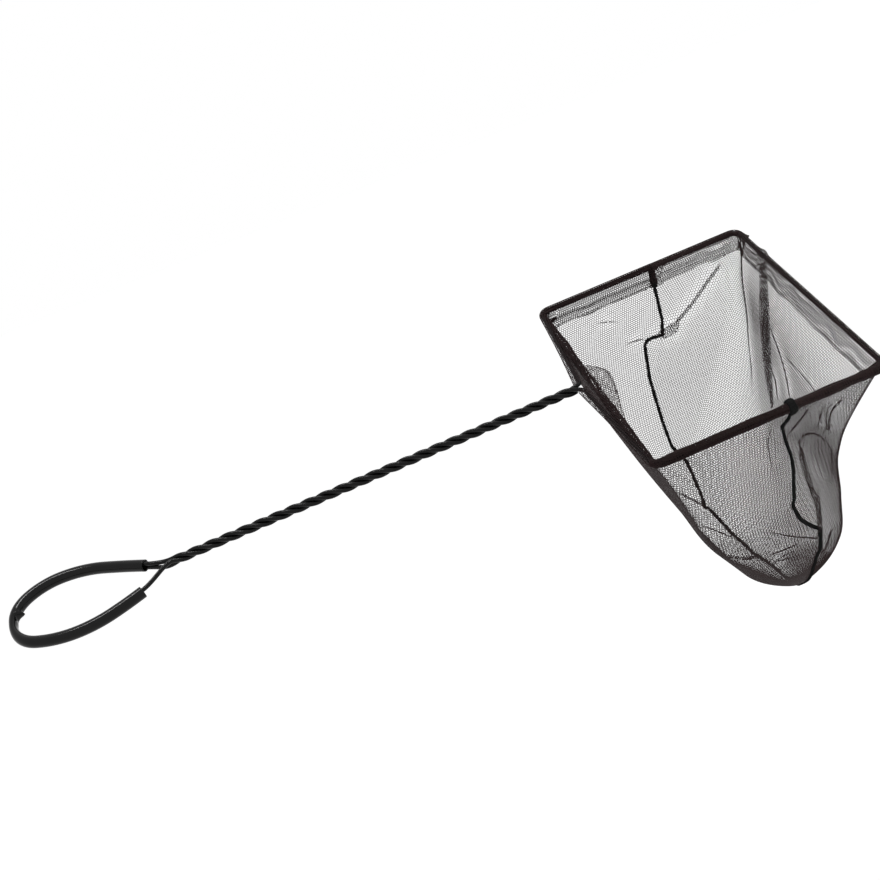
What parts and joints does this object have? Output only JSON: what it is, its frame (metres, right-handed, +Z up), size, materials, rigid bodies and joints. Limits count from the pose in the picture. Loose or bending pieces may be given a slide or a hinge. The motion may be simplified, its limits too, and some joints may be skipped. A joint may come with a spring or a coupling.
{
  "type": "aquarium fish net",
  "caption": "Hand-held aquarium net: three-strand twisted coated-wire handle with a sleeved finger loop, rectangular wire hoop and a sewn mesh bag hanging from it.",
  "frame": {"origin": "middle of the finger loop, on the handle's axis, where the net is held", "axes": "+X along the handle towards the hoop, +Z up against gravity, -Y the side the picture is taken from; the hoop's plane is tilted about X so that its -Y side is lower"},
  "size_m": [0.4554, 0.1469, 0.1841],
  "materials": {
    "coated_wire": "satin black plastic coat on steel",
    "vinyl_sleeve": "glossy black soft vinyl",
    "net_cloth": "black knitted nylon mesh",
    "seam_thread": "black sewing thread"
  },
  "bodies": {
    "root": {"frame_wire": "coated_wire", "loop_sleeve": "vinyl_sleeve", "panel_near": "net_cloth", "panel_far": "net_cloth", "bag_seam": "seam_thread", "seam_tab_front": "seam_thread", "seam_tab_rear": "seam_thread", "hem_thread_near": "seam_thread", "hem_thread_far": "seam_thread"}
  },
  "joints": []
}
